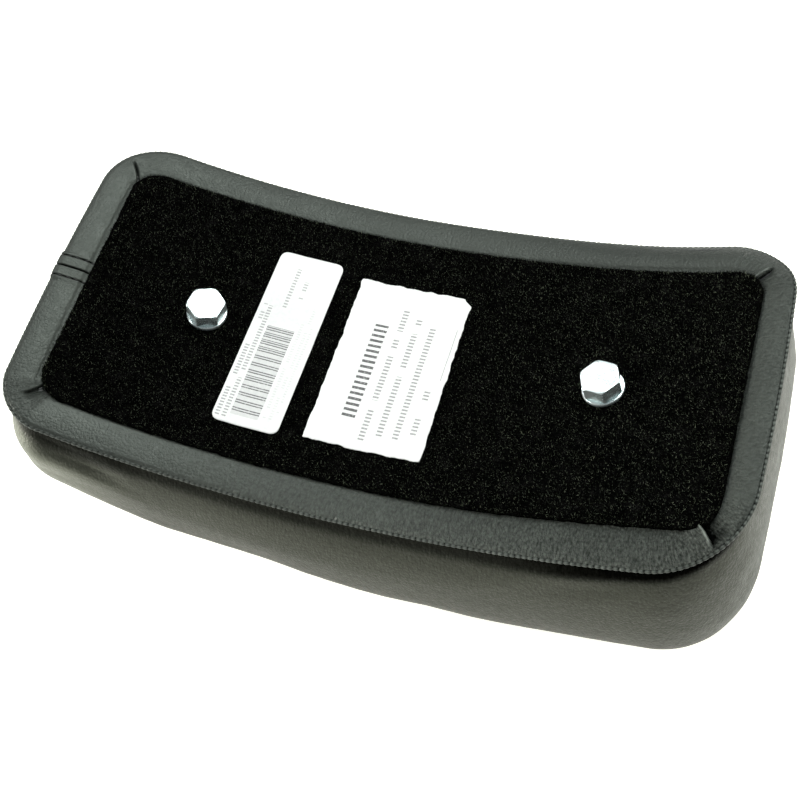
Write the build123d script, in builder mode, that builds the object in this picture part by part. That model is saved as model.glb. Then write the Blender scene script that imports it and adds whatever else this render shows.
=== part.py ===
"""Bolt-on upholstered rest pad, lying on its front with the mounting back up.

The back is hollow along its length so the pad seats on a rounded support. A bent base
carries the foam, the sewn leather cover, the carpet facing, two labels and two hex bolts
that screw into nuts pressed into the base. +Z is up, +X runs along the pad and the origin
is on the ground under its middle. All sizes are in millimetres.
"""
import os
from math import asin, cos, degrees, radians, sin
from build123d import *

os.makedirs("parts", exist_ok=True)

# Overall form
pad_thickness = 62.0          # back to front at mid length
back_radius = 354.0           # hollow of the back, measured to the leather
rim_half_length = 129.3       # chord from the middle to the end rim
rim_half_width = 65.0
rim_corner = 30.0
rim_sag = 0.9                 # how far the long sides bow outwards
side_bulge = 5.0              # foam stands this far outside the rim
shoulder = 24.0               # rounding between the side and the front
bend_height = pad_thickness + back_radius
front_radius = back_radius + pad_thickness

# Cover
leather = 1.2
turn_under = 22.0             # leather turned onto the base, carpet hides the last part
rim_seam_inset = 0.6
face_seam_inset = 10.0
seam_thread = 1.0
end_seam_half = 4.5           # from the end joint to each of its stitch rows
bead = 1.0

# Base and carpet
base_thickness = 6.0
base_inset = 2.0
boss_height = 4.0
boss_radius = 16.0
carpet_half_length = 119.7
carpet_half_width = 52.8
carpet_corner = 11.0
carpet_proud = 1.7
label_thickness = 0.3

# 5/16 in fasteners
bolt_arc = 75.0               # from the middle to each bolt along the bend
bolt_across_flats = 12.7
bolt_head_height = 5.3
bolt_shank_radius = 3.97
bolt_length = 19.05
bolt_turn = {-1: 22.6, 1: 48.6}     # degrees, as tightened
washer_radius = 7.5
washer_hole = 4.2
washer_thickness = 1.6
nut_bore = 4.03
nut_barrel_radius = 5.0
nut_barrel = 9.5
nut_flange_radius = 11.0
nut_flange = 1.6

staple_crown = 10.0
staple_wire = 0.6
staple_width = 1.2
staple_leg = 4.5
staple_pitch = 20.0

pad_base = back_radius + leather + 0.05       # radius of the base's outer face


def outline_block(half_length, half_width, corner, low=-5.0, high=110.0):
    """Upright block with the bowed, round-cornered outline of the pad."""
    with BuildPart() as block:
        with BuildSketch(Plane.XY.offset(low)) as outline:
            with BuildLine():
                x, y = half_length - rim_sag, half_width - rim_sag
                ThreePointArc((-x, -y), (0, -half_width), (x, -y))
                ThreePointArc((x, -y), (half_length, 0), (x, y))
                ThreePointArc((x, y), (0, half_width), (-x, y))
                ThreePointArc((-x, y), (-half_length, 0), (-x, -y))
            make_face()
            fillet(outline.vertices(), corner)
        extrude(amount=high - low)
    return block.part


def rim_block(grow, low=-5.0, high=110.0):
    """Outline block that stands the given distance outside the rim."""
    return outline_block(rim_half_length + grow, rim_half_width + grow, rim_corner + grow, low, high)


def bent_slab(inner, outer):
    """Slab curved about the bend axis, between two radii."""
    with BuildPart() as slab:
        with BuildSketch(Plane.XZ) as ring:
            with Locations((0, bend_height)):
                Circle(outer)
                Circle(inner, mode=Mode.SUBTRACT)
            with Locations((0, 20)):
                Rectangle(340, 200, mode=Mode.INTERSECT)
        extrude(amount=90, both=True)
    return slab.part


def padded_body(inset):
    """Whole upholstered form, drawn in from its outer skin by the inset."""
    with BuildPart() as body:
        add(rim_block(side_bulge - inset))
        add(bent_slab(back_radius + inset, front_radius - inset), mode=Mode.INTERSECT)
        by_height = body.faces().sort_by(Axis.Z)
        front_edges, back_edges = by_height[0].edges(), by_height[-1].edges()
        fillet(front_edges, shoulder - inset)
        back_edges = body.faces().sort_by(Axis.Z)[-1].edges()
        fillet(back_edges, side_bulge - inset)
    return body.part


def seat(arc, y=0.0, level=0.0):
    """Plane square to the bent back; its Z points away from the pad."""
    angle = arc / back_radius
    reach = back_radius - level
    return Plane(
        origin=(reach * sin(angle), y, bend_height - reach * cos(angle)),
        x_dir=(cos(angle), 0, sin(angle)),
        z_dir=(-sin(angle), 0, cos(angle)),
    )


def staple_seats():
    """Staple positions: rows along both sides, then across both ends."""
    side_row = rim_half_width - 17.0
    end_row = back_radius * asin(rim_half_length / back_radius) - 16.5
    for i in range(-5, 6):
        for side in (-1, 1):
            yield seat(i * staple_pitch, side * side_row), 0.0
    for i in (-1.5, -0.5, 0.5, 1.5):
        for end in (-1, 1):
            yield seat(end * end_row, i * staple_pitch), 90.0


def save(part, name):
    part.label = name
    export_step(part, f"parts/{name}.step")


skin_outer = padded_body(0.0)
skin_inner = padded_body(leather)

# Staples that hold the turned-under leather to the base
with BuildPart() as staples:
    for place, turn in staple_seats():
        with Locations(place.location * Location((0, 0, 0), (0, 0, turn))):
            with Locations((0, 0, staple_wire / 2)):
                Box(staple_crown, staple_width, staple_wire)
            with Locations(
                ((staple_wire - staple_crown) / 2, 0, -staple_leg / 2),
                ((staple_crown - staple_wire) / 2, 0, -staple_leg / 2),
            ):
                Box(staple_wire, staple_width, staple_leg)

# Nuts pressed into the base from inside
def pressed_nut(side):
    with BuildPart(seat(side * bolt_arc)) as nut:
        flange_top = -(leather + 0.05 + base_thickness + boss_height)
        with Locations((0, 0, flange_top)):
            Cylinder(nut_flange_radius, nut_flange, align=(Align.CENTER, Align.CENTER, Align.MAX))
            Cylinder(nut_barrel_radius, nut_barrel, align=(Align.CENTER, Align.CENTER, Align.MIN))
            with PolarLocations(nut_flange_radius - 1.5, 4, start_angle=45):
                Box(1.0, 2.6, 5.0, align=(Align.CENTER, Align.CENTER, Align.MIN))
            with Locations((0, 0, -nut_flange)):
                Cylinder(nut_bore, nut_barrel + nut_flange, mode=Mode.SUBTRACT,
                         align=(Align.CENTER, Align.CENTER, Align.MIN))
    return nut.part


nut_left = pressed_nut(-1)
nut_right = pressed_nut(1)

# Bent base with a boss at each nut
with BuildPart() as base_plate:
    add(rim_block(-base_inset))
    add(bent_slab(pad_base, pad_base + base_thickness), mode=Mode.INTERSECT)
    for side in (-1, 1):
        with Locations(seat(side * bolt_arc, level=-(leather + 0.05 + base_thickness + boss_height))):
            Cylinder(boss_radius, boss_height + 1, align=(Align.CENTER, Align.CENTER, Align.MIN))
    for side in (-1, 1):
        with Locations(seat(side * bolt_arc)):
            Cylinder(nut_barrel_radius, 40, mode=Mode.SUBTRACT)
    add([nut_left, nut_right, staples.part], mode=Mode.SUBTRACT)
save(base_plate.part, "base_plate")

# Foam block, hollowed where the base, nuts and bolt tips lie
with BuildPart() as foam_cushion:
    add(padded_body(leather + 0.05))
    add(rim_block(-base_inset) & bent_slab(pad_base - 1, pad_base + base_thickness),
        mode=Mode.SUBTRACT)
    for side in (-1, 1):
        with Locations(seat(side * bolt_arc, level=-(leather + 0.05))):
            Cylinder(boss_radius, base_thickness + boss_height, mode=Mode.SUBTRACT,
                     align=(Align.CENTER, Align.CENTER, Align.MAX))
            Cylinder(nut_flange_radius, base_thickness + boss_height + nut_flange,
                     mode=Mode.SUBTRACT, align=(Align.CENTER, Align.CENTER, Align.MAX))
            Cylinder(nut_barrel_radius + 0.5, bolt_length, mode=Mode.SUBTRACT,
                     align=(Align.CENTER, Align.CENTER, Align.MAX))
save(foam_cushion.part, "foam_cushion")

# Threads lie flush in the leather along the seams
thread_layer = skin_outer - padded_body(0.5)
with BuildPart() as face_seam_thread:
    add(thread_layer)
    seam_grow = side_bulge - face_seam_inset
    add(rim_block(seam_grow + seam_thread / 2, high=45.0), mode=Mode.INTERSECT)
    add(rim_block(seam_grow - seam_thread / 2), mode=Mode.SUBTRACT)
    add(bent_slab(0.1, front_radius - 30), mode=Mode.SUBTRACT)

with BuildPart() as end_seam_thread:
    add(thread_layer)
    with Locations(*[(-150, side * end_seam_half, 50) for side in (-1, 1)]):
        Box(2 * (150 - carpet_half_length - 0.4), 0.8, 110, mode=Mode.INTERSECT)
    add(rim_block(seam_grow + 1.5, high=45.0), mode=Mode.SUBTRACT)

# Sewn leather cover: face panel, side band and the strip turned onto the base
skin = skin_outer - skin_inner
threads = [face_seam_thread.part, end_seam_thread.part]
front_zone = bent_slab(front_radius - 30, front_radius + 5)
back_zone = bent_slab(back_radius - 5, back_radius + 3)
with BuildPart() as cover_face_panel:
    add(skin)
    add(rim_block(side_bulge - face_seam_inset) & front_zone, mode=Mode.INTERSECT)
    add(threads, mode=Mode.SUBTRACT)
with BuildPart() as cover_turn_under:
    add(skin)
    add(rim_block(-rim_seam_inset) & back_zone, mode=Mode.INTERSECT)
    add(rim_block(-turn_under), mode=Mode.SUBTRACT)
    add(threads + [staples.part], mode=Mode.SUBTRACT)
with BuildPart() as cover_side_band:
    add(skin)
    add(rim_block(side_bulge - face_seam_inset) & front_zone, mode=Mode.SUBTRACT)
    add(rim_block(-rim_seam_inset) & back_zone, mode=Mode.SUBTRACT)
    add(threads, mode=Mode.SUBTRACT)

with BuildPart() as rim_bead:
    add(rim_block(-rim_seam_inset + bead / 2))
    add(rim_block(-rim_seam_inset - bead / 2), mode=Mode.SUBTRACT)
    add(bent_slab(back_radius - bead, back_radius), mode=Mode.INTERSECT)

save(face_seam_thread.part, "face_seam_thread")
save(end_seam_thread.part, "end_seam_thread")
save(cover_face_panel.part, "cover_face_panel")
save(cover_turn_under.part, "cover_turn_under")
save(cover_side_band.part, "cover_side_band")
save(rim_bead.part, "rim_bead")
save(staples.part, "staples")
save(nut_left, "nut_left")
save(nut_right, "nut_right")

# Carpet facing, pressed flat under each washer
with BuildPart() as carpet_facing:
    add(outline_block(carpet_half_length, carpet_half_width, carpet_corner))
    add(bent_slab(back_radius - carpet_proud, pad_base), mode=Mode.INTERSECT)
    add([cover_turn_under.part, staples.part], mode=Mode.SUBTRACT)
    for side in (-1, 1):
        with Locations(seat(side * bolt_arc)):
            Cylinder(washer_radius + 0.5, 8, mode=Mode.SUBTRACT,
                     align=(Align.CENTER, Align.CENTER, Align.MIN))
            Cylinder(nut_barrel_radius, 8, mode=Mode.SUBTRACT)
save(carpet_facing.part, "carpet_facing")

# Labels stuck on the carpet
label_zone = bent_slab(back_radius - carpet_proud - label_thickness, back_radius - carpet_proud)
with BuildPart() as label_narrow:
    with BuildSketch():
        with Locations((-45.0, -2.2)):
            RectangleRounded(25.2, 76.2, 3.5)
    extrude(amount=110)
    add(label_zone, mode=Mode.INTERSECT)
with BuildPart() as label_wide:
    with BuildSketch():
        with Locations((-2.2, -3.6)):
            Rectangle(43.0, 70.0)
        with Locations((19.3, 31.4)):
            Rectangle(9, 9, rotation=45, mode=Mode.SUBTRACT)
    extrude(amount=110)
    add(label_zone, mode=Mode.INTERSECT)
save(label_narrow.part, "label_narrow")
save(label_wide.part, "label_wide")


def washer(side):
    with BuildPart(seat(side * bolt_arc)) as plain_washer:
        Cylinder(washer_radius, washer_thickness, align=(Align.CENTER, Align.CENTER, Align.MIN))
        chamfer(plain_washer.edges().filter_by(GeomType.CIRCLE), 0.2)
        Cylinder(washer_hole, 10, mode=Mode.SUBTRACT)
    return plain_washer.part


def hex_bolt(side):
    with BuildPart(seat(side * bolt_arc, level=washer_thickness)) as bolt:
        with BuildSketch(bolt.workplanes[0].offset(0.3)):
            RegularPolygon(bolt_across_flats / 2, 6, major_radius=False, rotation=bolt_turn[side])
        extrude(amount=bolt_head_height - 0.3)
        Cone(bolt_across_flats / 2 - 0.2 + bolt_head_height * 3 ** 0.5, bolt_across_flats / 2 - 0.2,
             bolt_head_height, mode=Mode.INTERSECT, align=(Align.CENTER, Align.CENTER, Align.MIN))
        Cylinder(bolt_across_flats / 2 - 0.3, 0.3, align=(Align.CENTER, Align.CENTER, Align.MIN))
        Cylinder(bolt_shank_radius, bolt_length, align=(Align.CENTER, Align.CENTER, Align.MAX))
        chamfer(bolt.faces().sort_by(Axis.Z)[0].edges(), 0.9)
    return bolt.part


for side, name in ((-1, "left"), (1, "right")):
    save(washer(side), f"washer_{name}")
    save(hex_bolt(side), f"bolt_{name}")
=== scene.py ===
"""Upholstered bolt-on pad, lying on its padded front with the carpeted, hollow back up.

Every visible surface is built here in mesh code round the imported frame. Lengths in the
shape code are millimetres in the frame's axes; they become metres as each mesh is made.
"""
import math

import bpy
import numpy as np
from mathutils import Matrix, Vector


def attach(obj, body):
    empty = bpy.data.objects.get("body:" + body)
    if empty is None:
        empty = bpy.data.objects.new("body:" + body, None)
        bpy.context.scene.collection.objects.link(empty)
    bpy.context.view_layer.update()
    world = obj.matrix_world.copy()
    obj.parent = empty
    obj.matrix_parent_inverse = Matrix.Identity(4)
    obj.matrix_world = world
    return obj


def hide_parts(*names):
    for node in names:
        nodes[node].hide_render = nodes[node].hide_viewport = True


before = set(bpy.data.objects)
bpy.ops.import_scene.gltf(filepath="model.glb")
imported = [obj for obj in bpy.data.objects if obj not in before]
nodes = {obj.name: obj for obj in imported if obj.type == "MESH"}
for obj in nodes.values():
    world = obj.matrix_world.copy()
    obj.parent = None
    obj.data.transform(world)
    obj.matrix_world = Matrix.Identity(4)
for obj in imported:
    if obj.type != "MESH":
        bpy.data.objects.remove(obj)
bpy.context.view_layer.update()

MM = 0.001
BACK_R = 354.0                # hollow of the back, at the leather
THICK = 62.0
FRONT_R = BACK_R + THICK
AXIS_Z = FRONT_R              # height of the bend axis
RIM_L, RIM_W = 132.3, 64.8                        # measured along the bend
RIM_CORNERS = (26.0, 24.5, 18.5, 31.0)            # +x+y, -x+y, -x-y, +x-y
CARPET_L, CARPET_W, CARPET_CORNER = 122.1, 52.8, 11.0
BULGE_SIDE, BULGE_LEFT, BULGE_RIGHT = 5.9, 1.3, 1.6
GROOVE, GROOVE_DEPTH = -2.6, 5.6      # where the side leaves the groove under the rim
WALL_SHARE = 0.60             # share of the depth where the side is fullest
SHOULDER_LEFT, SHOULDER_RIGHT = 28.0, 16.5
WALL_LEAN = 0.30
TAPER = 0.034
CROWN = 1.4
FACE_SEAM = 10.0
LEATHER = 1.2
SEAM_ROW = 4.5                # end seam: joint to each stitch row
BOLT_ARC = 75.0
LEFT_SKEW = 0.026                     # the left end is cut slightly askew
BOLT_TURN = {-1: 22.6, 1: 48.6}
FOAM_TOP, CARPET_UNDER = -7.6, -1.15  # level over the leather's own bend


# ---- small helpers

def smooth(x, lo=0.0, hi=1.0):
    t = np.clip((x - lo) / (hi - lo), 0, 1)
    return t * t * (3 - 2 * t)


def bump(x, width):
    return np.exp(-(x / width) ** 2)


def waves(x, y, seed, scale, octaves=3, z=0.0):
    """Smooth sum-of-sines noise, roughly -1 to 1."""
    r = np.random.default_rng(seed)
    total, weight = 0.0, 0.0
    for o in range(octaves):
        for _ in range(4):
            d = r.normal(size=3)
            d *= 2 * math.pi * 2.0 ** o * r.uniform(0.7, 1.3) / scale / np.linalg.norm(d)
            total = total + np.sin(x * d[0] + y * d[1] + z * d[2] + r.uniform(0, 6.28)) * 0.6 ** o
        weight += 2.0 * 0.6 ** o
    return total / weight


def make_object(name, points, faces, material, node=None, body="pad", uv=None, values=None,
                flat=False):
    """Mesh object from points in mm, in place of a CAD node; nothing reaches below the ground."""
    points = np.array(points, float)
    points[:, 2] = np.maximum(points[:, 2], 0.0)
    mesh = bpy.data.meshes.new(name)
    faces = faces.tolist() if isinstance(faces, np.ndarray) else [list(f) for f in faces]
    mesh.from_pydata((points * MM).tolist(), [], faces)
    mesh.update()
    if not flat:
        mesh.shade_smooth()
    if uv is not None:
        layer = mesh.uv_layers.new(name="UVMap")
        corner = np.zeros(len(mesh.loops), np.int32)
        mesh.loops.foreach_get("vertex_index", corner)
        layer.data.foreach_set("uv", np.asarray(uv, np.float32)[corner].ravel())
    for key, data in (values or {}).items():
        data = np.asarray(data, np.float32)
        kind, field = ("FLOAT", "value") if data.ndim == 1 else ("FLOAT_VECTOR", "vector")
        mesh.attributes.new(key, kind, "POINT").data.foreach_set(field, data.ravel())
    obj = bpy.data.objects.new(name, mesh)
    bpy.context.scene.collection.objects.link(obj)
    mesh.materials.append(material)
    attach(obj, body)
    if node:
        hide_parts(node)
    return obj


def strip_faces(rows, cols, start=0, flip=False):
    """Quads over a grid of rows by cols, closed round the columns."""
    r, c = np.meshgrid(np.arange(rows - 1), np.arange(cols), indexing="ij")
    n = (c + 1) % cols
    quads = np.stack([r * cols + c, (r + 1) * cols + c, (r + 1) * cols + n, r * cols + n], -1)
    quads = quads.reshape(-1, 4) + start
    return quads[:, ::-1] if flip else quads


def fan(first, cols, tip, flip=False):
    """Triangles from the ring that starts at index first to one tip point."""
    c = np.arange(cols)
    n = (c + 1) % cols
    ring = (first + n, first + c) if flip else (first + c, first + n)
    return np.stack([*ring, np.full(cols, tip)], -1).tolist()


def capped_faces(count, cols, flip=False):
    """Rings joined in order; two tip points follow them, and flip swaps which end each one closes."""
    first, last = (0, (count - 1) * cols)[::-1 if flip else 1]
    tip = count * cols
    sides = strip_faces(count, cols, flip=flip).tolist()
    return sides + fan(first, cols, tip) + fan(last, cols, tip + 1, True)


def run_length(line):
    """Distance along a line of points, from its first point."""
    return np.r_[0, np.cumsum(np.linalg.norm(np.diff(line, axis=0), axis=1))]


def grid_normals(grid):
    du = np.roll(grid, -1, 1) - np.roll(grid, 1, 1)
    dv = np.gradient(grid, axis=0)
    n = np.cross(dv, du)
    return n / np.maximum(np.linalg.norm(n, axis=2, keepdims=True), 1e-9)


# ---- outline and skin

def bowed_outline(half_l, half_w, corner, bow=0.7, step=0.05):
    """Dense closed outline: points, outward normals and length along it, from mid right side.

    corner is one radius, or four in the order +x+y, -x+y, -x-y, +x-y.
    """
    radii = [corner] * 4 if isinstance(corner, (int, float)) else list(corner)
    signs = ((1, 1), (-1, 1), (-1, -1), (1, -1))
    out, first = [], 0
    for k, (sx, sy) in enumerate(signs):
        before, here = radii[k - 1], radii[k]
        px, py = signs[k - 1]
        if k % 2 == 0:                              # straight part running along y
            p = np.array([sx * half_l, py * (half_w - before)])
            q = np.array([sx * half_l, sy * (half_w - here)])
            n = np.array([sx, 0.0])
        else:
            p = np.array([px * (half_l - before), sy * half_w])
            q = np.array([sx * (half_l - here), sy * half_w])
            n = np.array([0.0, sy])
        count = int(np.linalg.norm(q - p) / step)
        t = np.linspace(0, 1, count, endpoint=False)[:, None]
        out.append(p + (q - p) * t + n * bow * (1 - (2 * t - 1) ** 2))
        first = first or count // 2
        a0 = k * math.pi / 2
        a = np.arange(a0, a0 + math.pi / 2, step / here)
        out.append(np.c_[sx * (half_l - here) + here * np.cos(a), sy * (half_w - here) + here * np.sin(a)])
    pts = np.roll(np.vstack(out), -first, 0)
    pts[:, 0] -= LEFT_SKEW * (pts[:, 1] + 8.0) * smooth(-pts[:, 0], 60, 128)
    along = run_length(np.vstack([pts, pts[:1]]))
    tangent = np.roll(pts, -40, 0) - np.roll(pts, 40, 0)
    normal = np.c_[tangent[:, 1], -tangent[:, 0]]
    normal /= np.linalg.norm(normal, axis=1, keepdims=True)
    return pts, normal, along


def pick_stations(outline, spacing):
    """Stations along an outline: spacing is one number, or a function of x, y, nx, ny."""
    pts, normal, along = outline
    total = along[-1]
    gap = spacing(*pts.T, *normal.T) if callable(spacing) else np.full(len(pts), spacing)
    gap = np.convolve(np.r_[gap[-60:], gap, gap[:60]], np.ones(121) / 121, "valid")
    index = np.r_[0, np.cumsum(np.diff(along) / gap)]
    count = int(round(index[-1]))
    want = np.arange(count) * index[-1] / count
    place = np.interp(want, index, along)
    p, n = (np.stack([np.interp(place, along, np.r_[v, v[:1]]) for v in part.T], -1)
            for part in (pts, normal))
    return p, n / np.linalg.norm(n, axis=1, keepdims=True), place, total


def rim_spacing(x, y, nx, ny):
    corner = np.minimum(np.abs(nx), np.abs(ny)) > 0.03
    joint = (x < 0) & (np.abs(y) < 8.0) & (np.abs(nx) > 0.9)
    return np.where(joint, 0.22, np.where(corner, 0.48, 1.5))


rim_curve = bowed_outline(RIM_L, RIM_W, RIM_CORNERS)
RIM, RIM_N, RIM_S, RIM_TOTAL = pick_stations(rim_curve, rim_spacing)
N = len(RIM)
RIM_X, RIM_Y = RIM.T
OUT_X, OUT_Y = RIM_N.T
END = OUT_X ** 2                      # 1 at the two ends, 0 on the long sides
DIAGONAL = np.minimum(np.abs(OUT_X), np.abs(OUT_Y))     # 0 on the straights, most mid corner
AT_LEFT_END = (RIM_X < 0) & (np.abs(OUT_X) > 0.9)


def on_back(s, y, level=0.0):
    """Point over the bent back: s along the bend, y across, level above the leather."""
    a = np.asarray(s) / BACK_R
    r = BACK_R - level
    return np.stack(np.broadcast_arrays(r * np.sin(a), np.asarray(y, float) + 0 * a,
                                        AXIS_Z - r * np.cos(a)), -1)


def front_z(x, y):
    """The bent, slightly crowned front, deeper at the right end; it touches the ground at z = 0."""
    rest = TAPER ** 2 * FRONT_R / 2 + 0.05
    thin = (5.5 + 4.5 * smooth(np.abs(y), 15.0, 60.0)) * smooth(-x, 75.0, 130.0)
    return AXIS_Z - np.sqrt(FRONT_R ** 2 - x ** 2) - TAPER * x + rest + CROWN * (y / 45.0) ** 2 + thin


def over_bend(s, flat):
    """Directions given in the flat outline's plane, turned to follow the bent back at s."""
    return np.c_[flat[:, 0] * np.cos(s / BACK_R), flat[:, 1], flat[:, 0] * np.sin(s / BACK_R)]


def bend_up(s):
    """Directions square to the bent back at s."""
    return np.c_[-np.sin(s / BACK_R), np.zeros(len(s)), np.cos(s / BACK_R)]


ANGLE = RIM_X / BACK_R
RIM_POINT = on_back(*RIM.T)
OUT_LOCAL = over_bend(RIM_X, RIM_N)
OUT_LEVEL = np.c_[RIM_N, np.zeros(N)]
DOWN = np.c_[WALL_LEAN * np.sin(ANGLE), np.zeros(N), -(1 - WALL_LEAN) - WALL_LEAN * np.cos(ANGLE)]
DOWN /= np.linalg.norm(DOWN, axis=1, keepdims=True)
BULGE = np.where(RIM_X > 0, BULGE_RIGHT, BULGE_LEFT) * END + BULGE_SIDE * (1 - END)
BULGE = BULGE + 0.9 * (1 - END) * smooth(RIM_X, -60, 20)
AT_FAR_LEFT = smooth(-RIM_X, 90, 115) * smooth(RIM_Y, 20, 45)
AT_NEAR_LEFT = smooth(-RIM_X, 70, 126) * smooth(-RIM_Y, 10, 50)
AT_NEAR_RIGHT = smooth(RIM_X, 80, 126) * smooth(-RIM_Y, 10, 50)
BULGE = BULGE - 0.9 * AT_NEAR_LEFT + 0.9 * bump(RIM_X - 14, 34) * (RIM_Y < 0)
FULL_AT = WALL_SHARE - 0.16 * AT_NEAR_LEFT + 0.03 * AT_NEAR_RIGHT
SHOULDER = SHOULDER_LEFT + (SHOULDER_RIGHT - SHOULDER_LEFT) * smooth(RIM_X, -110, 50)
SHOULDER += 2.5 * AT_NEAR_LEFT - 3.2 * AT_NEAR_RIGHT
at_corner = DIAGONAL > 0.12
apart = np.abs(RIM_S[:, None] - RIM_S[at_corner][None])
CORNER = 1 - smooth(np.minimum(apart, RIM_TOTAL - apart).min(1), 0, 38)
quarter = np.where(RIM_Y > 0, np.where(RIM_X > 0, 0, 1), np.where(RIM_X < 0, 2, 3))
ROOM = BULGE + 0.80 * np.array(RIM_CORNERS)[quarter]
SHOULDER = SHOULDER * (1 - CORNER) + np.minimum(SHOULDER, ROOM) * CORNER
SEAM_ANGLE = np.arccos(1 - FACE_SEAM / SHOULDER)


def droop(s, ny):
    """The far edge rolls down towards the right end."""
    return 2.8 * smooth(s, 10, 100) * smooth(ny, 0.2, 0.9)


DROOP = droop(RIM_X, OUT_Y)


def depth_at(o):
    """Length along DOWN from the rim to the front, for a wall standing o outside the rim."""
    h = np.full(N, THICK)
    for _ in range(4):
        p = RIM_POINT + OUT_LEVEL * o[:, None] + DOWN * h[:, None]
        h = (RIM_POINT[:, 2] - front_z(p[:, 0], p[:, 1])) / -DOWN[:, 2]
    return h


DEPTH = depth_at(BULGE - SHOULDER)

# Shallower groove round the left end, so the lower corners of the base stay inside the cover.
BASE_ROOM = 1.5 * smooth(-RIM_POINT[:, 0], 70.0, 105.0)


def wall_offset(h):
    """How far the side stands outside the rim at depth h, above its fullest line."""
    full = DEPTH * FULL_AT
    r = np.clip((h - GROOVE_DEPTH) / (full - GROOVE_DEPTH), 0, 1)
    return GROOVE + (BULGE - GROOVE) * (1 - (1 - r) ** 2.6)


def skin_rows(rows):
    """Points of the skin for rows given as (kind, value), all stations at once."""
    out = []
    for kind, v in rows:
        if kind == "back":          # v = distance in from the rim
            s, y = (RIM - RIM_N * v).T
            p = on_back(s, y, flange_level(s, y, v))
            p[:, 2] -= DROOP * (1 - v / 12.0) ** 2 if v < 12.0 else 0.0
            out.append(p)
            continue
        if kind == "roll":          # v = (offset, depth) near the rim
            o, h = np.full(N, v[0]), np.full(N, v[1])
        elif kind == "wall":        # v = 0..1 from the groove to the fullest line
            h = GROOVE_DEPTH + (DEPTH * FULL_AT - GROOVE_DEPTH) * v
            o = wall_offset(h)
        else:                       # v = share of the shoulder before (band) or after (edge) the seam
            if kind == "shoulder":
                a = v * (SEAM_ANGLE - 0.03)
            else:
                a = SEAM_ANGLE + 0.03 + v * (math.pi / 2 - SEAM_ANGLE - 0.03)
            o = BULGE - SHOULDER * (1 - np.cos(a))
            h = DEPTH * (FULL_AT + (1 - FULL_AT) * np.sin(a))
        if kind in ("roll", "wall"):
            o = o + BASE_ROOM * smooth(h, 2.5, 5.6) * (1 - smooth(h, 13.0, 24.0))
        turn = smooth(h, 0.0, 9.0)[:, None]
        side = OUT_LOCAL * (1 - turn) + OUT_LEVEL * turn
        p = RIM_POINT + side * o[:, None] + DOWN * h[:, None]
        p[:, 2] -= DROOP * (1 - smooth(h, 0, 30))
        out.append(p + side * wall_relief(h)[:, None])
    return np.array(out)


# Corner pleats of the turned-under strip: start s and y, heading in degrees, length, lip height,
# pocket depth and width, slit depth
PLEATS = [
    (117.2, 46.6, 43.0, 9.5, 0.60, 1.5, 1.9, 0.9),
    (-121.6, 45.6, 124.0, 10.5, 0.16, 0.25, 2.5, 1.9),
    (115.3, -46.2, -54.0, 12.5, 0.50, 1.35, 4.4, 0.3),
    (-117.6, -48.0, -131.0, 9.0, 0.20, 0.95, 3.6, 0.0),
]
# Their painted light: shade in the slit, highlight on the lip's edge, shade in the pocket
PLEAT_PAINTED_LIGHT = [(0.95, 0.9, 0.45), (0.95, 0.35, 0.0), (0.9, 1.7, 0.75), (0.30, 0.0, 0.40)]


def pleat_frame(s, y, pleat):
    """Along and across distances of one pleat, and where it is present."""
    ps, py, heading, length = pleat[:4]
    a = math.radians(heading)
    hand = -1.0 if py > 0 else 1.0
    along = (s - ps) * math.cos(a) + (y - py) * math.sin(a)
    across = ((y - py) * math.cos(a) - (s - ps) * math.sin(a)) * hand
    across = across + 0.035 * (along - length / 2) ** 2 / 2 - 0.4
    return across, smooth(along, -0.6, 1.2) * (1 - smooth(along, length * 0.62, length))


def flange_shade(s, y, d):
    """Painted shade in the pleats' slits and pockets, painted highlights on their lip edges, and the dark
    lines of the end joint (1 dark, -1 light).
    """
    shade = np.zeros(np.shape(s))
    for pleat, (dark, glint, pocket_shade) in zip(PLEATS, PLEAT_PAINTED_LIGHT):
        across, keep = pleat_frame(s, y, pleat)
        # Painted shade along the slit, a painted highlight on the lip's edge, and painted shade in the pocket
        # beside it
        line = dark * bump(across - 0.25, 0.42) - glint * bump(across + 0.45, 0.36)
        shade += keep * (line + pocket_shade * (across > 0) * bump(across, pleat[6]))
    return shade + joint_shade(joint_y(y, d), s) * AT_LEFT_END


def joint_shade(y, along):
    """Dark joint line and stitch rows of the end seam, with the thread showing as dots."""
    dots = 0.72 + 0.28 * np.sin(along * 2.4 + 0.8)
    return 0.95 * bump(y, 0.30) + sum(dots * bump(y - row, 0.28) for row in (-SEAM_ROW, SEAM_ROW))


def joint_y(y, d):
    """The end joint runs a little askew over the turned-under strip, d in from the rim."""
    return y + 0.1 * (10.5 - np.clip(d, 0, 10.5))


def seam_band(y, lift, taper):
    """Raised strip of the end joint, where the leather is folded double and sewn down."""
    furrows = 0.9 * bump(y, 0.26) + sum(0.7 * bump(y - row, 0.22) for row in (-SEAM_ROW, SEAM_ROW))
    return lift * (1 - smooth(np.abs(y), 5.0, 5.0 + taper)) - furrows


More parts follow.
